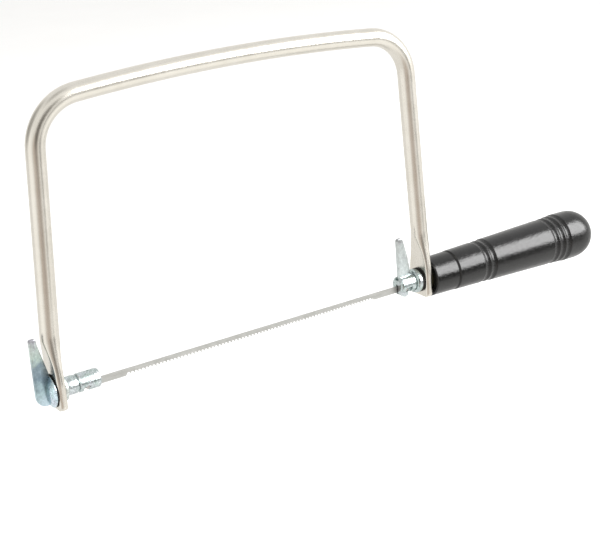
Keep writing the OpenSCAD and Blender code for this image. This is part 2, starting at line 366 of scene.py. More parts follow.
def nickel():
    """Satin nickel plate: warm grey, drawn lines along the rod, faint blotches and pits."""
    n = Nodes("nickel_plate")
    n.set(Metallic=1.0)
    uv = n.tree.nodes.new("ShaderNodeUVMap")
    uv.uv_map = "along"
    drawn = n.noise((55, 5500, 1), 3, 0.6, uv.outputs["UV"])
    blotch = n.noise((110, 110, 110), 4, 0.6)
    grain = n.noise((2600, 2600, 2600), 3, 0.6)
    tint = n.ramp(blotch, [(0.3, (0.70, 0.668, 0.60)), (0.7, (0.76, 0.73, 0.665))])
    n.colour(n.mix(0.25, tint, n.ramp(drawn, [(0.3, 0.52), (0.7, 0.78)]), "MULTIPLY"))
    rough = n.maths("ADD", n.maths("MULTIPLY", drawn, 0.10), n.maths("MULTIPLY", blotch, 0.10))
    n.roughness(n.maths("ADD", rough, 0.17))
    fine = n.bump(drawn, 0.00002, 0.5)
    n.normal(n.bump(grain, 0.00001, 0.5, fine))
    return n.material


def zinc(name, tones, scale=180, rough=0.3, slot=False):
    """Bright zinc plate with a passivation tint that wanders between the tones.
    slot: the walls of the blade's slot are painted near black as shade in the slot."""
    n = Nodes(name)
    n.set(Metallic=1.0)
    cloud = n.noise((scale, scale, scale * 0.6), 5, 0.6, distortion=0.6)
    tint = n.ramp(cloud, [(0.25 + 0.5 * i / (len(tones) - 1), t) for i, t in enumerate(tones)])
    spangle = n.noise((1400, 1400, 1400), 3, 0.7)
    plated = n.mix(0.7, tint, n.ramp(spangle, [(0.38, 0.45), (0.60, 1.0)]), "MULTIPLY")
    # painted shade: the walls inside the blade's slot turn near black
    if slot:
        near = 0.08
        inside = n.maths("LESS_THAN", n.maths("ABSOLUTE", n.axis("Y")), (SLOT_HALF + near) * MM)
        under = n.maths("LESS_THAN", n.axis("Z"), (SLOT_TOP + near + 0.02) * MM)
        plated = n.mix(n.maths("MULTIPLY", inside, under), plated, (0.02, 0.02, 0.02))
    n.colour(plated)
    n.roughness(n.maths("ADD", n.maths("MULTIPLY", cloud, 0.22), rough - 0.1))
    n.normal(n.bump(spangle, 0.00008, 0.8))
    return n.material


def tinted_zinc(name, low, high, stops, rough=0.32):
    """Zinc plate of a sheet part whose tint changes with height, with clouds and fine spangle."""
    n = Nodes(name)
    n.set(Metallic=1.0)
    cloud = n.noise((260, 260, 260), 5, 0.65, distortion=0.8)
    height = n.climb(low, high, cloud, 0.45)
    tint = n.ramp(height, stops)
    spangle = n.noise((1500, 1500, 1100), 4, 0.75)
    patch = n.noise((620, 620, 620), 4, 0.6)
    mottled = n.mix(0.55, tint, n.ramp(patch, [(0.36, 0.66), (0.62, 1.0)]), "MULTIPLY")
    n.colour(n.mix(0.5, mottled, n.ramp(spangle, [(0.36, 0.58), (0.62, 1.0)]), "MULTIPLY"))
    n.roughness(n.maths("ADD", n.maths("MULTIPLY", patch, 0.25), rough - 0.1))
    n.normal(n.bump(spangle, 0.00003, 0.7))
    return n.material


def blade_steel():
    """Ground spring steel: fine lines along the blade, slight stains."""
    n = Nodes("blade_steel")
    n.set(Metallic=1.0)
    lines = n.noise((90, 4000, 5200), 3, 0.6)
    stain = n.noise((160, 160, 420), 4, 0.6)
    tint = n.ramp(stain, [(0.3, (0.50, 0.50, 0.475)), (0.7, (0.61, 0.61, 0.59))])
    ground = n.mix(0.45, tint, n.ramp(lines, [(0.3, 0.55), (0.7, 1.0)]), "MULTIPLY")
    # painted shade: the blade turns near black where it runs into the rear holder's slot
    n.colour(n.mix(n.beyond(extent("rear_spigot")[0].x - 0.6, 0.9), ground, (0.03, 0.03, 0.03)))
    n.roughness(n.maths("ADD", n.maths("MULTIPLY", lines, 0.2), 0.28))
    n.normal(n.bump(lines, 0.00001, 0.6))
    return n.material


def plain_steel():
    """Hardened pin steel with a fine turned grain."""
    n = Nodes("pin_steel")
    n.set(Metallic=1.0)
    grain = n.noise((900, 5200, 900), 3, 0.6)
    n.colour(n.ramp(grain, [(0.3, (0.40, 0.39, 0.38)), (0.7, (0.55, 0.54, 0.53))]))
    n.roughness(n.maths("ADD", n.maths("MULTIPLY", grain, 0.2), 0.25))
    n.normal(n.bump(grain, 0.00001, 0.5))
    return n.material


def lacquer():
    """Black lacquer over turned hardwood: open grain along the handle and a soft orange peel."""
    n = Nodes("black_lacquer")
    n.set(IOR=1.45)
    grain = n.noise((300, 1100, 1100), 6, 0.62, distortion=0.6)
    pores = n.noise((480, 1500, 1500), 3, 0.75)
    peel = n.noise((700, 700, 700), 2, 0.5)
    n.colour(n.ramp(grain, [(0.3, (0.003, 0.003, 0.003)), (0.7, (0.007, 0.007, 0.0068))]))
    gloss = n.ramp(pores, [(0.44, 0.03), (0.60, 0.26)])
    start = extent("handle")[0].x
    dull = n.band(start + PAIR_AT, COVE_LENGTH, 2)
    dull = n.maths("ADD", dull, n.band(start + TRIPLE_AT, COVE_LENGTH, 3))
    n.roughness(n.maths("ADD", gloss, n.maths("MULTIPLY", dull, 0.1)))
    soft = n.bump(peel, 0.00004, 0.5)
    lines = n.bump(grain, 0.00008, 0.7, soft)
    n.normal(n.bump(pores, 0.00009, 0.8, lines))
    return n.material


def fibre():
    """Near-black washer surface with a fine felt grain and patchy roughness."""
    n = Nodes("black_fibre")
    n.set(IOR=1.45)
    felt = n.noise((1500, 1500, 1500), 4, 0.65)
    oil = n.noise((300, 300, 300), 3, 0.6)
    n.colour(n.ramp(felt, [(0.3, (0.004, 0.004, 0.004)), (0.7, (0.014, 0.014, 0.012))]))
    n.roughness(n.maths("ADD", n.maths("MULTIPLY", oil, 0.3), 0.45))
    n.shader.inputs["Specular IOR Level"].default_value = 0.25
    n.normal(n.bump(felt, 0.00003, 0.5))
    return n.material


def brass():
    """Turned brass painted dark olive as the shade between the ear and the handle, with faint tool rings."""
    n = Nodes("turned_brass_painted_shade")
    n.set(Metallic=1.0)
    rings = n.noise((5200, 60, 60), 2, 0.5)
    stain = n.noise((260, 260, 260), 4, 0.6)
    # painted shade: the brass tones are kept dark olive
    tint = n.ramp(stain, [(0.3, (0.045, 0.042, 0.022)), (0.7, (0.11, 0.10, 0.055))])
    n.colour(tint)
    n.roughness(n.maths("ADD", n.maths("MULTIPLY", stain, 0.2), 0.32))
    n.normal(n.bump(rings, 0.00001, 0.5))
    return n.material


# ---------------------------------------------------------------- bow

# Rod bow: the same driving values as the CAD bow, in mm and degrees
EAR = dict(thick=3.6, width=14)
FACE_GAP = 0.05
LEG_LEAN = 3.4
BEND_R = 20.6
CROWN_R = 851
LEG_FOOT = 20
ROD_R = 4
EAR_ROUND = 1.8
EAR_FLAT_TOP = 8      # the ears are parallel below this height
ARCH_TOP = 22         # the pressed flats run out of the round rod here
SIDE_TOP = 24         # the rod starts to widen here
SIDE_LOW = 4          # and has the ear's full width here
BLEND_TOP = 27        # the rod is round above this height
FLAT_BLEND = 0.55     # soft corner between a pressed flat and the round side
FLAT_STEPS = 16
SIDE_STEPS = 32
EAR_RINGS = 28        # mesh rings along the ear, a leg, a bend and half of the crown
LEG_RINGS = 12
BEND_RINGS = 18
CROWN_RINGS = 12


def ear_places():
    """Mid-plane X of the front and the rear ear, between the pieces that bear on them."""
    cap = extent("front_friction_washer")[1].x
    flange = extent("handle_insert")[0].x
    return cap + FACE_GAP + EAR["thick"] / 2, flange - FACE_GAP - EAR["thick"] / 2


def bow_path():
    """Centre line of the bow from the front ear's end to the rear ear's end, as (x, z, lean)
    with lean the angle in degrees of the travel direction from +Z towards +X."""
    low, high = extent("bow_frame")
    x0, x1 = ear_places()
    mid = (x0 + x1) / 2
    lean = math.radians(LEG_LEAN)
    along = Vector((math.sin(lean), math.cos(lean)))
    inwards = Vector((math.cos(lean), -math.sin(lean)))
    foot = Vector((x0, LEG_FOOT))
    crown = Vector((mid, high.z - ROD_R - CROWN_R))
    reach = foot + BEND_R * inwards - crown
    # how far up the leg the bend starts, so that it runs smoothly into the crown
    drop = reach.dot(along)
    run = -drop + math.sqrt(drop ** 2 - reach.dot(reach) + (CROWN_R - BEND_R) ** 2)
    bend = foot + BEND_R * inwards + run * along
    half = math.atan2(mid - bend.x, bend.y - crown.y)
    rows = []
    heights = [0, 0.04, 0.12, 0.3, 0.6, 1.0, 1.5, 2.2, 3.6]
    rows += [(x0, low.z + h, 0) for h in heights]
    rows += [(x0, z, 0) for z in (-1.5, 1)]
    for i in range(EAR_RINGS + 1):
        z = SIDE_LOW - 1 + (BLEND_TOP - SIDE_LOW + 1) * i / EAR_RINGS
        # the straight ear turns into the leaning leg round a soft corner at the foot
        spread = 6
        t = smoothstep((z - (LEG_FOOT - spread)) / (2 * spread))
        over = max(0, z - LEG_FOOT)
        if abs(z - LEG_FOOT) < spread:
            over = (z - LEG_FOOT + spread) ** 2 / (4 * spread)
        rows.append((x0 + math.tan(lean) * over, z, LEG_LEAN * t))
    start = (BLEND_TOP - LEG_FOOT) / math.cos(lean)
    for i in range(1, LEG_RINGS + 1):
        p = foot + along * (start + (run - start) * i / (LEG_RINGS + 1))
        rows.append((p.x, p.y, LEG_LEAN))
    for i in range(BEND_RINGS + 1):
        a = math.pi - lean - (math.pi / 2 - half - lean) * i / BEND_RINGS
        x = bend.x + BEND_R * math.cos(a)
        rows.append((x, bend.y + BEND_R * math.sin(a), 180 - math.degrees(a)))
    for i in range(1, CROWN_RINGS + 1):
        a = half * (1 - i / CROWN_RINGS)
        x = crown.x - CROWN_R * math.sin(a)
        rows.append((x, crown.y + CROWN_R * math.cos(a), 90 - math.degrees(a)))
    mirrored = [(2 * mid - x, z, 180 - lean_deg) for x, z, lean_deg in reversed(rows[:-1])]
    return rows + mirrored, low.z


def bow_section(z, bottom):
    """Half-width in Y, half-depth of the curve and the clip of the pressed flats, at a height."""
    if z > BLEND_TOP:
        return ROD_R, ROD_R, ROD_R * 1.2
    part = min(max((SIDE_TOP - z) / (SIDE_TOP - SIDE_LOW), 0), 1)
    wide = 0.6 * part + 0.4 * smoothstep(part)
    b = ROD_R + (EAR["width"] / 2 - ROD_R) * wide
    fall = min(max((z - EAR_FLAT_TOP) / (ARCH_TOP - EAR_FLAT_TOP), 0), 1.4)
    clip = EAR["thick"] / 2 + (ROD_R - EAR["thick"] / 2) * fall ** 1.9
    above = z - bottom
    if above < EAR_ROUND:
        b -= EAR_ROUND - math.sqrt(EAR_ROUND ** 2 - (EAR_ROUND - above) ** 2)
    soft = 0.3
    if above < soft:
        clip -= soft - math.sqrt(soft ** 2 - (soft - above) ** 2)
    return b, ROD_R, clip


def soft_min(a, b, blend):
    """The smaller of two values with a rounded corner."""
    h = max(blend - abs(a - b), 0)
    return min(a, b) - h * h / (4 * blend)


def section_ring(b, a, clip):
    """(depth, width) points round the section, clipped by the flats, from the -X flat onwards."""
    least = math.radians(7)
    crease = max(least, math.acos(min(clip / a, 1)))
    ring = []
    for quarter in range(2):
        turn = math.pi * quarter
        for i in range(FLAT_STEPS):
            t = -crease + 2 * crease * ease(i / FLAT_STEPS)
            ring.append(turn + t)
        for i in range(SIDE_STEPS):
            t = crease + (math.pi - 2 * crease) * ease(i / SIDE_STEPS)
            ring.append(turn + t)
    points = []
    for t in ring:
        depth = a * math.cos(t)
        width = b * math.sin(t)
        if clip < a * 1.15:
            depth = math.copysign(soft_min(abs(depth), clip, FLAT_BLEND), depth)
        points.append((depth, width))
    return points


def make_bow(material):
    """Bent rod with its two ends pressed into ears, swept along the centre line, and drilled."""
    rows, bottom = bow_path()
    points = []
    lengths = []
    travelled = 0
    for k, (x, z, lean) in enumerate(rows):
        b, a, clip = bow_section(z, bottom)
        lean = math.radians(lean)
        normal = Vector((-math.cos(lean), math.sin(lean)))
        if k:
            travelled += math.hypot(x - rows[k - 1][0], z - rows[k - 1][1])
        lengths.append(travelled)
        points += [(x + normal.x * d, -w, z + normal.y * d) for d, w in section_ring(b, a, clip)]
    around = 2 * (FLAT_STEPS + SIDE_STEPS)
    faces = []
    for k in range(len(rows) - 1):
        for i in range(around):
            j = (i + 1) % around
            faces.append([k * around + i, k * around + j, (k + 1) * around + j, (k + 1) * around + i])
    last = (len(rows) - 1) * around
    faces.append(list(range(around)))
    faces.append([last + i for i in range(around - 1, -1, -1)])
    bow = add_mesh("bow", points, faces, sharp=50)
    holes = [rod((x, 0, 0), JOURNAL_BORE_R, 12, "X", 64) for x in ear_places()]
    combine(bow, holes, sharp=50)
    lay_along(bow, rows)
    mount_piece(bow, "bow", "bow", material, "bow_frame")


def lay_along(bow, rows):
    """UV layer with the travel along the bow and the place round it, in metres."""
    layer = bow.data.uv_layers.new(name="along")
    path = [Vector((x, 0, z)) * MM for x, z, _ in rows]
    travel = [0]
    for a, b in zip(path, path[1:]):
        travel.append(travel[-1] + (b - a).length)
    spots = []
    for vertex in bow.data.vertices:
        flat = Vector((vertex.co.x, 0, vertex.co.z))
        k = min(range(len(path)), key=lambda i: (path[i] - flat).length_squared)
        ahead = (path[min(k + 1, len(path) - 1)] - path[max(k - 1, 0)]).normalized()
        across = Vector((-ahead.z, 0, ahead.x))
        turn = math.atan2(vertex.co.y, (flat - path[k]).dot(across))
        spots.append((travel[k] + (flat - path[k]).dot(ahead), turn * ROD_R * MM))
    for loop in bow.data.loops:
        layer.data[loop.index].uv = spots[loop.vertex_index]


# ---------------------------------------------------------------- front holder

FRONT_BARREL = 9.8    # length of the slotted barrel
TAIL_LENGTH = 2.4     # riveted tail in the cap
TAIL_R = 2.2
TAIL_BORE_R = 2.22
JOURNAL_R = 3.0
JOURNAL_BORE_R = 3.06
NECK_R = 4.0


def make_front_spigot(material):
    """Riveted tail, journal, neck, waist and slotted barrel with the pin's notch."""
    low, high = extent("front_spigot")
    pin_low, pin_high = extent("blade_pin_front")
    neck_x = extent("front_washer")[1].x + 0.05
    barrel_r = high.y
    barrel_x = high.x - FRONT_BARREL
    tail_end = low.x + TAIL_LENGTH
    profile = [(low.x, 0), (low.x, TAIL_R - 0.6), (low.x + 0.3, TAIL_R), (tail_end, TAIL_R),
               (tail_end, JOURNAL_R), (neck_x, JOURNAL_R), (neck_x, NECK_R - 0.3), (neck_x + 0.3, NECK_R)]
    profile += [(barrel_x - 1.0, NECK_R), (barrel_x - 0.8, NECK_R - 0.1), (barrel_x - 0.75, NECK_R - 0.6),
                (barrel_x - 0.05, NECK_R - 0.7)]
    profile += [(barrel_x, barrel_r - 0.5), (barrel_x + 0.12, barrel_r - 0.2), (barrel_x + 0.4, barrel_r)]
    profile += [(high.x - 0.9, barrel_r), (high.x - 0.5, barrel_r - 0.12), (high.x - 0.2, barrel_r - 0.32),
                (high.x - 0.05, barrel_r - 0.6), (high.x, barrel_r - 0.9), (high.x, 0)]
    spigot = lathe("front_spigot", profile, 96)
    pin_x = (pin_low.x + pin_high.x) / 2
    pin_z = (pin_low.z + pin_high.z) / 2
    wall = pin_high.x + 0.1
    reach = 9
    cutters = [block((barrel_x + 1.4, -SLOT_HALF, -reach), (high.x + 1, SLOT_HALF, SLOT_TOP)),
               block((wall - 2.9, -reach, -reach), (wall, reach, pin_z)),
               block((wall - 2.9, -reach, pin_z - 0.01), (wall - 1, reach, pin_z + 0.6)),
               rod((wall - 1, 0, pin_z), 1.0, 2 * reach, "Y")]
    combine(spigot, cutters)
    # centre-punch mark on top of the barrel
    combine(spigot, [rod((pin_x + 1.8, 0, barrel_r + 0.1), 0.5, 0.8, "Z", 24)])
    bevel(spigot, 0.12, 2, 40)
    mount_piece(spigot, "front_holder", "zinc", material, "front_spigot")


def make_front_cap(material):
    """Domed cap with a rolled rim, slotted for the lever and bored for the spigot's tail."""
    low, high = extent("front_cap")
    radius = high.y
    rim = 0.4
    bed = 0.7
    bore_x = low.x + 0.78
    dome = high.x - rim - low.x
    sphere_r = (radius ** 2 + dome ** 2) / (2 * dome)
    full = math.asin(radius / sphere_r)
    profile = [(low.x + sphere_r * (1 - math.cos(full * i / 20)), sphere_r * math.sin(full * i / 20))
               for i in range(20)]
    rim_x = high.x - rim
    profile += [(rim_x - 0.06, radius - 0.16), (rim_x + 0.04, radius - 0.03), (high.x - 0.2, radius),
                (high.x - 0.05, radius - 0.04), (high.x, radius - 0.12), (high.x, TAIL_BORE_R)]
    profile += [(bore_x, TAIL_BORE_R), (bore_x, 0)]
    cap = lathe("front_cap", profile, 128)
    combine(cap, [block((low.x - 3, -LEVER_SLOT_HALF, -9), (high.x - bed, LEVER_SLOT_HALF, 9))])
    bevel(cap, 0.1, 2, 40)
    mount_piece(cap, "front_holder", "zinc", material, "front_cap")


def make_friction_washer(node, body, inner, material):
    """Flat black washer with slightly worn edges."""
    low, high = extent(node)
    r = high.y
    edge = 0.1
    profile = [(low.x, inner), (low.x, r - edge), (low.x + edge, r),
               (high.x - edge, r), (high.x, r - edge), (high.x, inner)]
    washer = lathe(node + "_piece", profile, 128, ring=True)
    mount_piece(washer, body, "fibre", material, node)


def make_front_lever(material):
    """Sheet lever: a round lobe below, a straight taper up to a narrow rounded tip."""
    low, high = extent("front_lever")
    _, cap_high = extent("front_cap")
    ear_face = extent("front_friction_washer")[1].x + FACE_GAP
    bed = cap_high.x - 0.72
    heel = cap_high.x - 0.1
    left = low.x
    lobe = 4.2
    notch = TAIL_R + 0.06
    notch_x = extent("front_spigot")[0].x - 0.1
    outline = [(bed, cap_high.z + 0.2), (heel, cap_high.z + 0.4), (heel - 0.35, cap_high.z + 2.2),
               (ear_face - 4.15, high.z - 2.2)]
    outline += arc(ear_face - 5.2, high.z - 1.0, 1.0, 5, 95, 6)
    outline += arc(left + 0.9, high.z - 0.9, 0.9, 85, 180, 6)
    outline += arc(left + lobe, low.z + lobe, lobe, 180, 270, 12)
    outline += [(bed, low.z), (bed, -notch), (notch_x, -notch), (notch_x, notch), (bed, notch)]
    lever = plate("front_lever", outline, high.y - low.y)
    bevel(lever, 0.28, 3, 40)
    mount_piece(lever, "front_holder", "zinc", material, "front_lever")


def make_front_washer(material):
    """Flat washer with rounded edges."""
    low, high = extent("front_washer")
    r = high.y
    edge = 0.3
    cut = edge * 0.3
    profile = [(low.x, JOURNAL_BORE_R), (low.x, r - edge), (low.x + cut, r - cut), (low.x + edge, r),
               (high.x - edge, r), (high.x - cut, r - cut), (high.x, r - edge), (high.x, JOURNAL_BORE_R)]
    washer = lathe("front_washer", profile, 96, ring=True)
    mount_piece(washer, "front_holder", "zinc", material, "front_washer")


# ---------------------------------------------------------------- blade

PLAIN_FRONT = 19.5    # length without teeth, from each pin
PLAIN_REAR = 17.5
TOOTH_PITCH = 1.7
TOOTH_DEPTH = 0.9
TOOTH_LIFT = 0.4      # the points of the teeth stop this far over the lower edge
TOOTH_SET = 0.13      # sideways bend of every first and second tooth of three


def make_blade(material):
    """Strip with a row of set skip teeth along its lower edge and an eye at each end."""
    low, high = extent("blade")
    eye_r = 0.92
    gullet = 0.45     # share of the pitch that is flat gullet
    point = 0.2
    pins = [extent("blade_pin_front"), extent("blade_pin_rear")]
    pin_x = [(a.x + b.x) / 2 for a, b in pins]
    pin_z = (pins[0][0].z + pins[0][1].z) / 2
    half = high.y
    count = int((pin_x[1] - pin_x[0] - PLAIN_FRONT - PLAIN_REAR) / TOOTH_PITCH)
    first = pin_x[0] + PLAIN_FRONT
    last = first + count * TOOTH_PITCH
    tip_z = low.z + TOOTH_LIFT
    root = tip_z + TOOTH_DEPTH
    points = []
    faces = []

    def pair(x, z, shift=0.0):
        points.extend([(x, -half + shift, z), (x, half + shift, z)])
        return len(points) - 2

    def column(x, z):
        return pair(x, high.z), pair(x, z)

    def join(a, b):
        """Both sides and the top between two columns."""
        faces.append([a[0], a[1], b[1], b[0]])
        faces.append([a[0] + 1, b[0] + 1, b[1] + 1, a[1] + 1])
        faces.append([a[0], b[0], b[0] + 1, a[0] + 1])

    def underside(a, b):
        faces.append([a[1], a[1] + 1, b[1] + 1, b[1]])

    near = column(low.x, low.z)
    faces.append([near[0], near[0] + 1, near[1] + 1, near[1]])
    for x, z in ((first - TOOTH_DEPTH, low.z), (first, root)):
        far = column(x, z)
        join(near, far)
        underside(near, far)
        near = far
    for i in range(count):
        x = first + i * TOOTH_PITCH
        shift = TOOTH_SET * (1, -1, 0)[i % 3]
        base = column(x + gullet * TOOTH_PITCH, root)
        join(near, base)
        underside(near, base)
        end = column(x + TOOTH_PITCH, root)
        join(base, end)
        heel = pair(x + TOOTH_PITCH - point, tip_z, shift)
        tip = pair(x + TOOTH_PITCH, tip_z, shift)
        faces.append([base[1], heel, tip, end[1]])
        faces.append([base[1] + 1, end[1] + 1, tip + 1, heel + 1])
        for p, q in ((base[1], heel), (heel, tip), (tip, end[1])):
            faces.append([p, p + 1, q + 1, q])
        near = end
    for x, z in ((last + TOOTH_DEPTH, low.z), (high.x, low.z)):
        far = column(x, z)
        join(near, far)
        underside(near, far)
        near = far
    faces.append([near[0], near[1], near[1] + 1, near[0] + 1])
    blade = add_mesh("blade", points, faces)
    combine(blade, [rod((x, 0, pin_z), eye_r, 4, "Y", 32) for x in pin_x])
    mount_piece(blade, "front_holder", "blade_steel", material, "blade")


def make_pin(node, material):
    """Cross pin with chamfered ends."""
    low, high = extent(node)
    r = (high.z - low.z) / 2
    half = (high.y - low.y) / 2
    edge = 0.2
    profile = [(-half, 0), (-half, r - edge), (-half + edge * 0.6, r - edge * 0.25), (-half + edge * 1.3, r)]
    profile += [(-x, radius) for x, radius in reversed(profile)]
    pin = lathe(node + "_piece", profile, 40)
    centre = (low + high) / 2 * MM
    pin.data.transform(Matrix.Translation(centre) @ Matrix.Rotation(math.pi / 2, 4, "Z"))
    mount_piece(pin, "front_holder", "pin_steel", material, node)


# ---------------------------------------------------------------- rear holder

REAR_BARREL_R = 4.3
LEVER_BED = 2.6       # floor of the lever's slot, over the axis
PIN_SLACK = 2         # the rear pocket is longer than the pin by the travel of the tension slide
THREAD_LENGTH = 20
THREAD_PITCH = 1.0
THREAD_DEPTH = 0.5
THREAD_TAPER = 0.8    # lead at the shank's end


def make_rear_spigot(material):
    """Slotted barrel with a rounded blade end, drop-shaped lips, and a threaded shank."""
    low, high = extent("rear_spigot")
    pin_low, pin_high = extent("blade_pin_rear")
    collar_low, collar_high = extent("rear_collar")
    face = collar_high.x
    thread_x = high.x - THREAD_LENGTH
    r = REAR_BARREL_R
    end_round = 1.5
    pocket = pin_high.x - pin_low.x + 0.2
    pocket_x = pin_low.x - 0.1
    pin_z = (pin_low.z + pin_high.z) / 2
    slot_end = pin_high.x + 1.5 + PIN_SLACK
    run_x = pocket_x + 1
    reach = 9
    profile = [(low.x, 0)]
    profile += [(low.x + end_round * (1 - math.cos(a)), r - end_round + end_round * math.sin(a))
                for a in [math.radians(t) for t in range(0, 91, 10)]]
    profile += [(face - 0.3, r), (face, r - 0.3), (face, JOURNAL_R), (thread_x, JOURNAL_R), (thread_x, 0)]
    spigot = lathe("rear_spigot", profile, 96)
    lips = rod((pocket_x + 0.4, 0, pin_z - 1), 2.6, 2 * r - 2.8, "Y", 64)
    combine(spigot, [lips], "UNION")
    half = pocket / 2
    cutters = [block((low.x - 1, -SLOT_HALF, -reach), (slot_end, SLOT_HALF, SLOT_TOP)),
               block((run_x, -reach, pin_z - half), (run_x + half + PIN_SLACK, reach, pin_z + half)),
               rod((pocket_x + half, 0, pin_z), half, 2 * reach, "Y"),
               block((pocket_x + PIN_SLACK, -reach, -reach), (pocket_x + PIN_SLACK + pocket, reach, pin_z)),
               block((low.x - 1, -LEVER_SLOT_HALF, LEVER_BED), (collar_low.x, LEVER_SLOT_HALF, reach))]
    combine(spigot, cutters)
    bevel(spigot, 0.12, 2, 40)
    make_thread(thread_x, high.x, material)
    mount_piece(spigot, "rear_holder", "zinc", material, "rear_spigot")


def make_thread(x0, x1, material):
    """Right-handed helical thread on the rear holder's shank."""
    around = 48
    per_turn = 16
    count = round((x1 - x0) / THREAD_PITCH * per_turn)
    points = []
    for k in range(count + 1):
        x = x0 + (x1 - x0) * k / count
        lead = min(1, (x1 - x) / THREAD_TAPER)
        for i in range(around):
            turn = i / around
            phase = ((x - x0) / THREAD_PITCH - turn) % 1
            wave = smoothstep(abs(2 * phase - 1) * 1.5 - 0.25)
            r = JOURNAL_R - THREAD_DEPTH * (1 - wave) - THREAD_DEPTH * (1 - lead)
            a = 2 * math.pi * turn
            points.append((x, r * math.sin(a), r * math.cos(a)))
    faces = []
    for k in range(count):
        for i in range(around):
            j = (i + 1) % around
            faces.append([k * around + i, k * around + j, (k + 1) * around + j, (k + 1) * around + i])
    faces.append(list(range(around)))
    faces.append([count * around + i for i in range(around - 1, -1, -1)])
    shank = add_mesh("rear_thread", points, faces, sharp=60)
    shank.data.materials.append(material)
    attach(shank, "rear_holder")


def make_rear_lever(material):
    """Sheet lever that rises from the barrel's slot and narrows to a rounded tip."""
    low, high = extent("rear_lever")
    collar_low, _ = extent("rear_collar")
    spigot_low, _ = extent("rear_spigot")
    left = spigot_low.x + 0.9
    right = collar_low.x - 0.02
    tip_left = left - 0.4
    tip_right = tip_left + 3.3
    outline = [(left, low.z), (right, low.z), (right, 4.2), (right - 0.5, 5.1), (right - 1.4, 6.4),
               (right - 2.7, high.z - 8.8)]
    outline += arc(tip_right - 1.1, high.z - 1.1, 1.1, 8, 90, 6)
    outline += arc(tip_left + 1.1, high.z - 1.1, 1.1, 90, 176, 6)
    lever = plate("rear_lever", outline, high.y - low.y)
    bevel(lever, 0.25, 3, 40)
    mount_piece(lever, "rear_holder", "zinc", material, "rear_lever")


def make_rear_collar(material):
    """Domed collar with a small bead at the back edge, round the barrel."""
    low, high = extent("rear_collar")
    r = high.y
    inner = REAR_BARREL_R + 0.02
    start = inner + 0.35
    length = high.x - low.x
    profile = [(high.x, inner), (low.x + 0.1, inner), (low.x, inner + 0.1)]
    profile += [(low.x + (length - 0.7) * (1 - math.sin(a)), start + (r - start) * math.cos(a))
                for a in [math.radians(t) for t in range(90, -1, -9)]]
    profile += [(high.x - 0.25, r), (high.x - 0.07, r - 0.07), (high.x, r - 0.25)]
    collar = lathe("rear_collar", profile, 96, ring=True)
    mount_piece(collar, "rear_slider", "zinc", material, "rear_collar")


# ---------------------------------------------------------------- handle

# Handle radius before the grooves, at distances from its front end, in mm
TAPER = [(0, 9.35), (13, 9.62), (15, 9.8), (29, 10.2), (36.5, 10.5), (73.2, 11.55), (84.7, 12.2)]
V_GROOVE = (13, 1.4, 0.6)      # start, width and depth
COVE_LENGTH = 3.7
COVE_DEPTH = 0.65
RIDGE_WEAR = 0.1      # lost off the ridge between two coves
PAIR_AT = 29.1
TRIPLE_AT = 73.3
COVES = ((PAIR_AT, 2), (TRIPLE_AT, 3))
DOME_LENGTH = 14.1
INSERT_R = 5.0
# Distances of mesh rings along the plain stretches
PLAIN_RINGS = {0.9, 5, 9, 17, 20, 23, 26, 38, 45, 52, 59, 66, 71, 84.7, 86, 88, 90}


def taper(x):
    """Radius of the plain handle at a distance from its front end."""
    for (x0, r0), (x1, r1) in zip(TAPER, TAPER[1:]):
        if x <= x1:
            return r0 + (r1 - r0) * max(0, (x - x0)) / (x1 - x0)
    return TAPER[-1][1]


def groove_depth(x):
    """How far the V groove and the coves cut in at a distance from the front end."""
    start, width, depth = V_GROOVE
    if start < x < start + width:
        t = (x - start) / width
        return depth * (1 - abs(2 * t - 1) ** 1.3)
    for at, count in COVES:
        if at < x < at + count * COVE_LENGTH:
            place = (x - at) / COVE_LENGTH
            t = place % 1
            worn = RIDGE_WEAR if 0.5 < place < count - 0.5 else 0
            return math.hypot(COVE_DEPTH * (1 - abs(2 * t - 1) ** 1.25), worn)
    return 0


def make_handle(material):
    """Turned handle: taper, V groove, two and three coves, band, dome, and the insert's bore."""
    low, high = extent("handle")
    bore = INSERT_R + 0.02
    bore_end = extent("handle_insert")[1].x + 0.6
    relief = 3.4
    relief_end = bore_end + 5
    face_r = 8.75
    profile = [(relief_end, 0), (relief_end, relief), (bore_end, relief), (bore_end, bore),
               (low.x, bore), (low.x, face_r)]
    profile += [(low.x + 0.4 * math.sin(a), face_r + 0.5 * (1 - math.cos(a)))
                for a in [math.radians(t) for t in (30, 60)]]
    profile.append((low.x + 0.45, 9.36))
    start, width, _ = V_GROOVE
    stations = PLAIN_RINGS | {start - 0.25, start - 0.08, start + width + 0.15}
    stations |= {start + width * i / 10 for i in range(11)}
    for at, count in COVES:
        end = at + count * COVE_LENGTH
        stations |= {at - 0.25, at - 0.05, end + 0.05, end + 0.25}
        for i in range(count):
            stations |= {at + COVE_LENGTH * (i + ease(k / 12)) for k in range(13)}
    for x in sorted(stations):
        profile.append((low.x + x, taper(x) - groove_depth(x)))
    dome_x = high.x - DOME_LENGTH
    top_r = TAPER[-1][1]
    for t in range(0, 90, 3):
        s = math.sin(math.radians(t))
        profile.append((dome_x + DOME_LENGTH * s, top_r * (1 - s ** 2.45) ** (1 / 1.8)))
    profile.append((high.x, 0))
    handle = lathe("handle", profile, 128, sharp=38)
    mount_piece(handle, "grip", "lacquer", material, "handle")


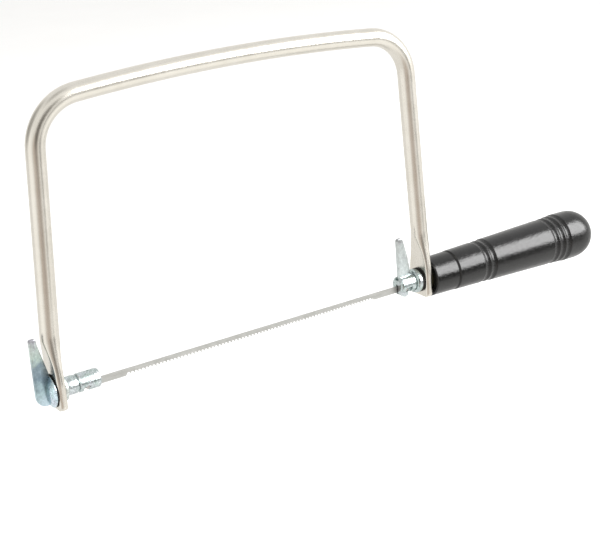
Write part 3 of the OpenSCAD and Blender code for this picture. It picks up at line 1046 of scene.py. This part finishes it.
def make_insert(material):
    """Threaded brass insert with a flange under the ear and straight knurling in the wood."""
    low, high = extent("handle_insert")
    flange_r = high.y
    flange_end = low.x + 1.05
    edge = 0.25
    undercut = INSERT_R - 0.4
    ridges = 30
    ridge_depth = 0.05      # share of the radius
    profile = [(low.x, JOURNAL_BORE_R), (low.x, flange_r - edge), (low.x + edge, flange_r),
               (flange_end, flange_r), (flange_end, undercut), (flange_end + 0.8, undercut),
               (flange_end + 1.1, INSERT_R), (high.x - 0.6, INSERT_R), (high.x, INSERT_R - 0.5),
               (high.x, JOURNAL_BORE_R)]
    insert = lathe("handle_insert", profile, 120, ring=True)
    for vertex in insert.data.vertices:
        r = math.hypot(vertex.co.y, vertex.co.z)
        if vertex.co.x > (flange_end + 1) * MM and r > (INSERT_R - 0.1) * MM:
            turn = math.atan2(vertex.co.y, vertex.co.z)
            vertex.co.yz *= 1 - ridge_depth * (0.5 + 0.5 * math.cos(ridges * turn))
    mount_piece(insert, "grip", "insert_metal", material, "handle_insert")


# ---------------------------------------------------------------- light and floor

def make_world():
    """Soft studio surround: a bright room with darker warm space on the photographer's side."""
    world = bpy.data.worlds.new("studio")
    scene.world = world
    world.use_nodes = True
    tree = world.node_tree
    place = tree.nodes.new("ShaderNodeTexCoord").outputs["Generated"]
    colour = None
    for name, direction, inner, outer, tint in SURROUND:
        if direction is None:
            base = tree.nodes.new("ShaderNodeRGB")
            base.outputs[0].default_value = (*tint, 1)
            colour = base.outputs[0]
            continue
        dot = tree.nodes.new("ShaderNodeVectorMath")
        dot.operation = "DOT_PRODUCT"
        tree.links.new(place, dot.inputs[0])
        dot.inputs[1].default_value = Vector(direction).normalized()
        edge = tree.nodes.new("ShaderNodeMapRange")
        edge.interpolation_type = "SMOOTHSTEP"
        edge.inputs["From Min"].default_value = math.cos(math.radians(outer))
        edge.inputs["From Max"].default_value = math.cos(math.radians(inner))
        tree.links.new(dot.outputs["Value"], edge.inputs["Value"])
        mix = tree.nodes.new("ShaderNodeMix")
        mix.data_type = "RGBA"
        tree.links.new(edge.outputs["Result"], mix.inputs[0])
        tree.links.new(colour, mix.inputs[6])
        mix.inputs[7].default_value = (*tint, 1)
        colour = mix.outputs[2]
    # what lies beyond the floor is a plain pale backdrop; the patches only light and reflect
    seen = tree.nodes.new("ShaderNodeMix")
    seen.data_type = "RGBA"
    tree.links.new(tree.nodes.new("ShaderNodeLightPath").outputs["Is Camera Ray"], seen.inputs[0])
    tree.links.new(colour, seen.inputs[6])
    seen.inputs[7].default_value = (*BACKDROP, 1)
    tree.links.new(seen.outputs[2], tree.nodes["Background"].inputs["Color"])


BACKDROP = (0.94, 0.94, 0.93)   # seen beyond the floor

# Patches of the surround: name, direction, angle of full strength, angle where it ends, colour
SURROUND = [
    ("room", None, 0, 0, (1.10, 1.09, 1.07)),
    ("ceiling", (0.2, 0.2, 1), 10, 60, (1.03, 1.03, 1.03)),
    ("floor", (0, 0, -1), 30, 70, (1.14, 1.13, 1.11)),
    ("floor in front", (0.45, -0.60, -0.66), 10, 34, (1.40, 1.39, 1.36)),
    ("left", (-1, 0.05, -0.1), 6, 38, (1.40, 1.39, 1.37)),
    ("photographer", (-0.42, -0.85, -0.25), 10, 38, (0.73, 0.645, 0.585)),
    ("front", (0.5, -0.86, -0.13), 5, 18, (0.20, 0.195, 0.19)),
    ("over the camera", (0.12, -0.93, 0.30), 6, 20, (0.62, 0.61, 0.59)),
    ("camera", (-0.24, -0.95, 0.14), 13, 26, (0.19, 0.18, 0.165)),
    ("above left", (-0.22, -0.15, 0.96), 8, 22, (0.62, 0.61, 0.59)),
    ("back left", (-0.72, 0.58, 0.38), 12, 38, (0.48, 0.47, 0.45)),
]

# One soft box, placed in a direction from its aim point, in mm
SOFTBOX = dict(direction=(0.65, -0.63, 0.435), distance=900, width=800, height=600, radiance=11)
SOFTBOX_AIM = (-100, 0, 30)


def make_softbox():
    """Rectangular area light with the same radiance all over."""
    aim = Vector(SOFTBOX["direction"]).normalized()
    data = bpy.data.lights.new("softbox", "AREA")
    data.shape = "RECTANGLE"
    data.size = SOFTBOX["width"] * MM
    data.size_y = SOFTBOX["height"] * MM
    area = data.size * data.size_y
    data.energy = SOFTBOX["radiance"] * area * math.pi
    light = bpy.data.objects.new("softbox", data)
    light.location = (aim * SOFTBOX["distance"] + Vector(SOFTBOX_AIM)) * MM
    light.rotation_euler = aim.to_track_quat("Z", "Y").to_euler()
    scene.collection.objects.link(light)


FLOOR_GAP = 35        # the floor lies this far under the saw, so that no shadow edge shows
FLOOR_HALF = 40000


def make_floor():
    """Plain pale floor that runs far enough to end at the horizon."""
    half = FLOOR_HALF * MM
    low = cad_box[0][2] - FLOOR_GAP * MM
    points = [(-half, -half, low), (half, -half, low), (half, half, low), (-half, half, low)]
    mesh = bpy.data.meshes.new("floor")
    mesh.from_pydata(points, [], [(0, 1, 2, 3)])
    floor = bpy.data.objects.new("floor", mesh)
    scene.collection.objects.link(floor)
    n = Nodes("pale_floor")
    n.set(Roughness=0.9)
    n.shader.inputs["Specular IOR Level"].default_value = 0.1
    cloud = n.noise((9, 9, 9), 4, 0.6)
    n.colour(n.ramp(cloud, [(0.2, (0.91, 0.91, 0.905)), (0.8, (0.93, 0.93, 0.925))]))
    mesh.materials.append(n.material)
    floor.visible_glossy = False


# ---------------------------------------------------------------- build

make_camera()
scene.view_settings.view_transform = "Standard"
make_world()
make_softbox()
make_floor()

nickel_plate = nickel()
cap_zinc = zinc("zinc_cap", [(0.46, 0.64, 0.62), (0.60, 0.73, 0.80), (0.74, 0.80, 0.90)], 300, 0.14)
# tints of the levers at parts of the height between two heights in mm
front_lever_zinc = tinted_zinc("zinc_front_lever", -6, 24, [
    (0.06, (0.58, 0.72, 0.80)), (0.24, (0.50, 0.66, 0.70)), (0.42, (0.26, 0.35, 0.42)),
    (0.60, (0.34, 0.44, 0.50)), (0.74, (0.66, 0.80, 0.74)), (0.88, (0.70, 0.78, 0.76)),
    (1.0, (0.46, 0.46, 0.50))])
rear_lever_zinc = tinted_zinc("zinc_rear_lever", 2, 23, [
    (0.10, (0.70, 0.76, 0.76)), (0.45, (0.66, 0.72, 0.72)), (0.85, (0.66, 0.71, 0.70)),
    (1.0, (0.50, 0.50, 0.52))])
pale_zinc = zinc("zinc_pale", [(0.50, 0.60, 0.55), (0.62, 0.68, 0.64), (0.70, 0.72, 0.71)], 200, 0.34)
barrel_tones = [(0.44, 0.55, 0.51), (0.56, 0.63, 0.63), (0.66, 0.68, 0.73)]
barrel_zinc = zinc("zinc_barrel_painted_slot_shade", barrel_tones, 420, 0.24, slot=True)
steel = blade_steel()
pin_material = plain_steel()
black_fibre = fibre()

make_bow(nickel_plate)
make_front_spigot(barrel_zinc)
make_front_cap(cap_zinc)
make_front_lever(front_lever_zinc)
make_front_washer(pale_zinc)
make_friction_washer("front_friction_washer", "front_holder", TAIL_BORE_R, black_fibre)
make_blade(steel)
make_pin("blade_pin_front", pin_material)
make_pin("blade_pin_rear", pin_material)
make_rear_spigot(barrel_zinc)
make_rear_lever(rear_lever_zinc)
make_rear_collar(barrel_zinc)
make_friction_washer("rear_friction_washer", "rear_slider", JOURNAL_BORE_R, black_fibre)
make_handle(lacquer())
make_insert(brass())


def corners(box):
    return [[float(c) for c in corner] for corner in box]
